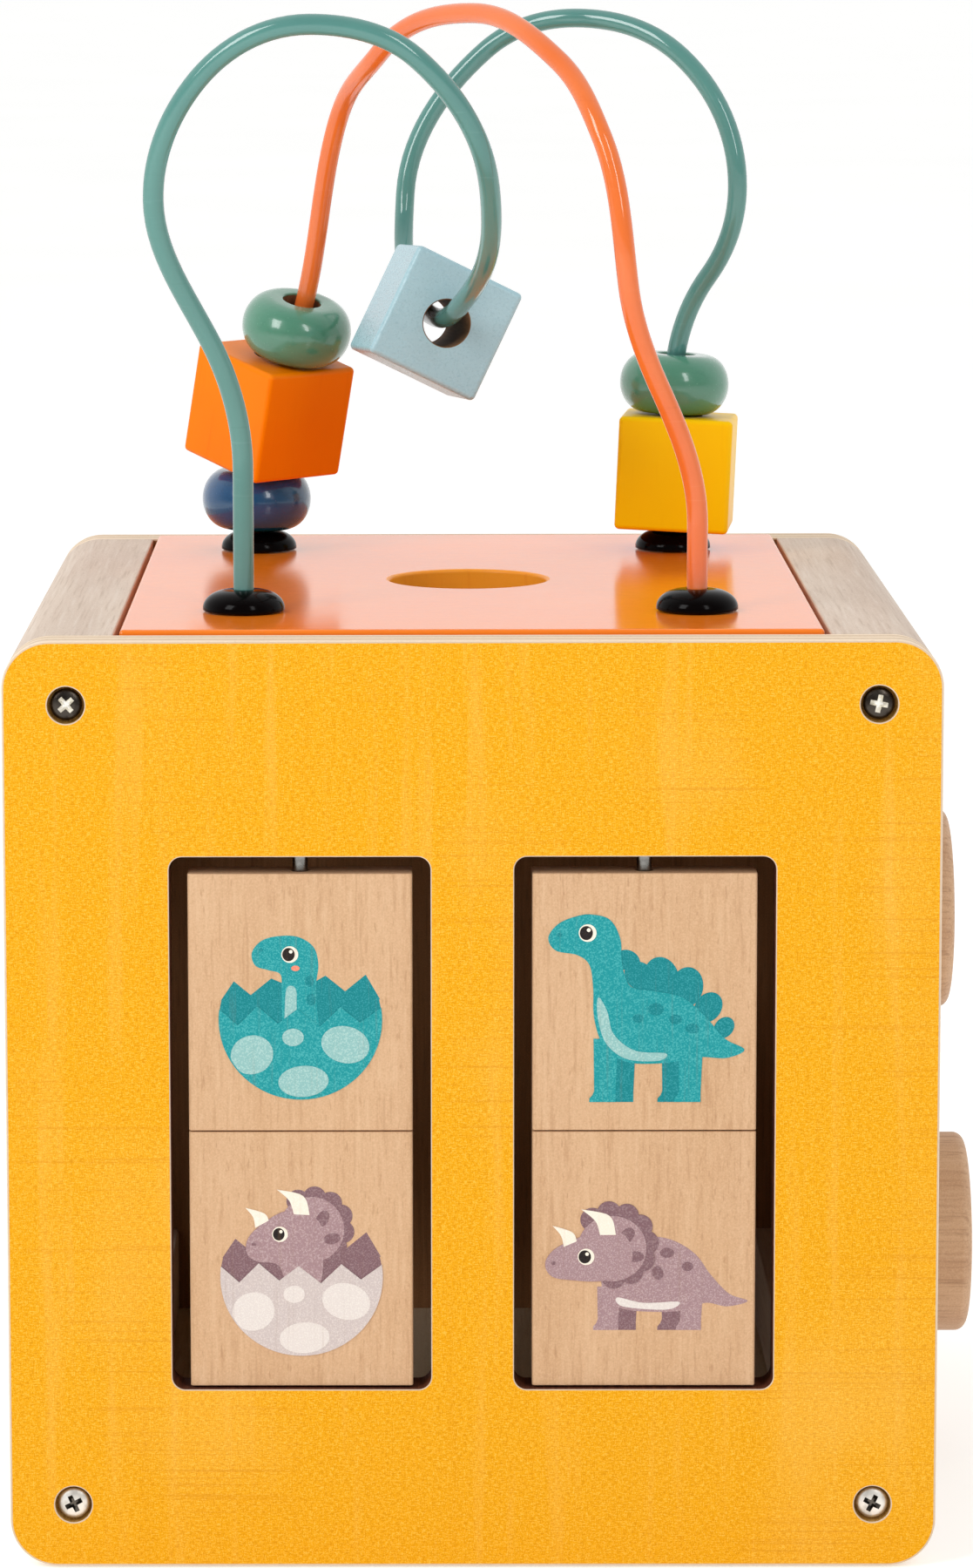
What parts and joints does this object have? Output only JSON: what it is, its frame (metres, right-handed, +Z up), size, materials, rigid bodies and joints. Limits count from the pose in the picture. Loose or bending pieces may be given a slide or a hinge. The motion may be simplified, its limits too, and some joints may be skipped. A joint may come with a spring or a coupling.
{
  "type": "baby activity cube",
  "caption": "Wooden activity cube with windows of turning picture tiles, turning side discs, a posting hole and a wire bead maze on top.",
  "frame": {"origin": "middle of the base, on the flat underside of the bottom plate", "axes": "+Z up, -Y out of the front with the picture windows, +X towards the side with the two discs"},
  "size_m": [0.2154, 0.2, 0.335],
  "materials": {
    "yellow_panel": "printed yellow lacquer on plywood, satin",
    "orange_plate": "orange lacquer, gloss",
    "birch": "pale bare wood, satin",
    "beech": "fine grained bare wood, satin",
    "steel": "zinc plated",
    "black_cap": "gloss black",
    "wire_green": "glossy grey green coating",
    "wire_orange": "glossy coral orange coating",
    "paint_green": "green lacquer, gloss",
    "paint_blue": "dark blue lacquer, gloss",
    "paint_orange": "orange lacquer, satin",
    "paint_yellow": "yellow lacquer, satin",
    "paint_light_blue": "light blue lacquer, satin"
  },
  "bodies": {
    "cube_body": {"front_panel": "yellow_panel", "back_panel": "yellow_panel", "top_plate": "orange_plate", "left_panel": "birch", "right_panel": "birch", "bottom_plate": "birch", "rail_top_left": "birch", "rail_top_right": "birch", "rail_bottom_left": "birch", "rail_bottom_right": "birch", "screw_front_top_left": "steel", "screw_front_top_right": "steel", "screw_front_bottom_left": "steel", "screw_front_bottom_right": "steel", "screw_back_top_left": "steel", "screw_back_top_right": "steel", "screw_back_bottom_left": "steel", "screw_back_bottom_right": "steel", "tile_rod_left": "steel", "tile_rod_right": "steel", "wire_green": "wire_green", "wire_orange": "wire_orange", "post_cap_front_left": "black_cap", "post_washer_front_left": "steel", "post_nut_front_left": "steel", "post_cap_front_right": "black_cap", "post_washer_front_right": "steel", "post_nut_front_right": "steel", "post_cap_back_left": "black_cap", "post_washer_back_left": "steel", "post_nut_back_left": "steel", "post_cap_back_right": "black_cap", "post_washer_back_right": "steel", "post_nut_back_right": "steel", "disc_spacer_upper": "steel", "disc_bolt_upper": "steel", "disc_nut_upper": "steel", "disc_spacer_lower": "steel", "disc_bolt_lower": "steel", "disc_nut_lower": "steel"},
    "tile_left_upper": {"tile_left_upper": "beech"},
    "tile_left_lower": {"tile_left_lower": "beech"},
    "tile_right_upper": {"tile_right_upper": "beech"},
    "tile_right_lower": {"tile_right_lower": "beech"},
    "disc_upper": {"disc_upper": "beech"},
    "disc_lower": {"disc_lower": "beech"},
    "bead_blue": {"bead_blue": "paint_blue"},
    "cube_orange": {"cube_orange": "paint_orange"},
    "bead_green_left": {"bead_green_left": "paint_green"},
    "cube_yellow": {"cube_yellow": "paint_yellow"},
    "bead_green_right": {"bead_green_right": "paint_green"},
    "cube_light_blue": {"cube_light_blue": "paint_light_blue"}
  },
  "joints": [
    {"name": "tile_left_upper_turn", "type": "hinge", "parent": "cube_body", "child": "tile_left_upper", "pos_m": [-0.0368, -0.0942, 0.12385], "axis": [0, 0, 1], "continuous": true},
    {"name": "tile_left_lower_turn", "type": "hinge", "parent": "cube_body", "child": "tile_left_lower", "pos_m": [-0.0368, -0.0942, 0.0676], "axis": [0, 0, 1], "continuous": true},
    {"name": "tile_right_upper_turn", "type": "hinge", "parent": "cube_body", "child": "tile_right_upper", "pos_m": [0.0368, -0.0942, 0.12385], "axis": [0, 0, 1], "continuous": true},
    {"name": "tile_right_lower_turn", "type": "hinge", "parent": "cube_body", "child": "tile_right_lower", "pos_m": [0.0368, -0.0942, 0.0676], "axis": [0, 0, 1], "continuous": true},
    {"name": "disc_upper_turn", "type": "hinge", "parent": "cube_body", "child": "disc_upper", "pos_m": [0.1022, 0, 0.1262], "axis": [1, 0, 0], "continuous": true},
    {"name": "disc_lower_turn", "type": "hinge", "parent": "cube_body", "child": "disc_lower", "pos_m": [0.1022, 0, 0.0496], "axis": [1, 0, 0], "continuous": true},
    {"name": "bead_blue_turn", "type": "hinge", "parent": "cube_body", "child": "bead_blue", "pos_m": [-0.0502, 0.0577, 0.2155], "axis": [0.02, -0.03, 0.9994], "continuous": true},
    {"name": "cube_orange_travel", "type": "slide", "parent": "cube_body", "child": "cube_orange", "axis": [0.2539, -0.2257, 0.9405], "range_m": [0, 0.007]},
    {"name": "bead_green_left_travel", "type": "slide", "parent": "cube_orange", "child": "bead_green_left", "axis": [0.1873, -0.2305, 0.9549], "range_m": [0, 0.028]},
    {"name": "cube_yellow_turn", "type": "hinge", "parent": "cube_body", "child": "cube_yellow", "pos_m": [0.0505, 0.0577, 0.2219], "axis": [0.0449, 0.01, 0.9989], "continuous": true},
    {"name": "bead_green_right_travel", "type": "hinge", "parent": "cube_body", "child": "bead_green_right", "pos_m": [0.0833, 0.0328, 0.242], "axis": [0.6, 0.8, 0], "range_deg": [0, 30]},
    {"name": "cube_light_blue_travel", "type": "hinge", "parent": "cube_body", "child": "cube_light_blue", "pos_m": [-0.0074, 0.0117, 0.3523], "axis": [0.9818, 0.19, 0], "range_deg": [-12, 12]}
  ]
}
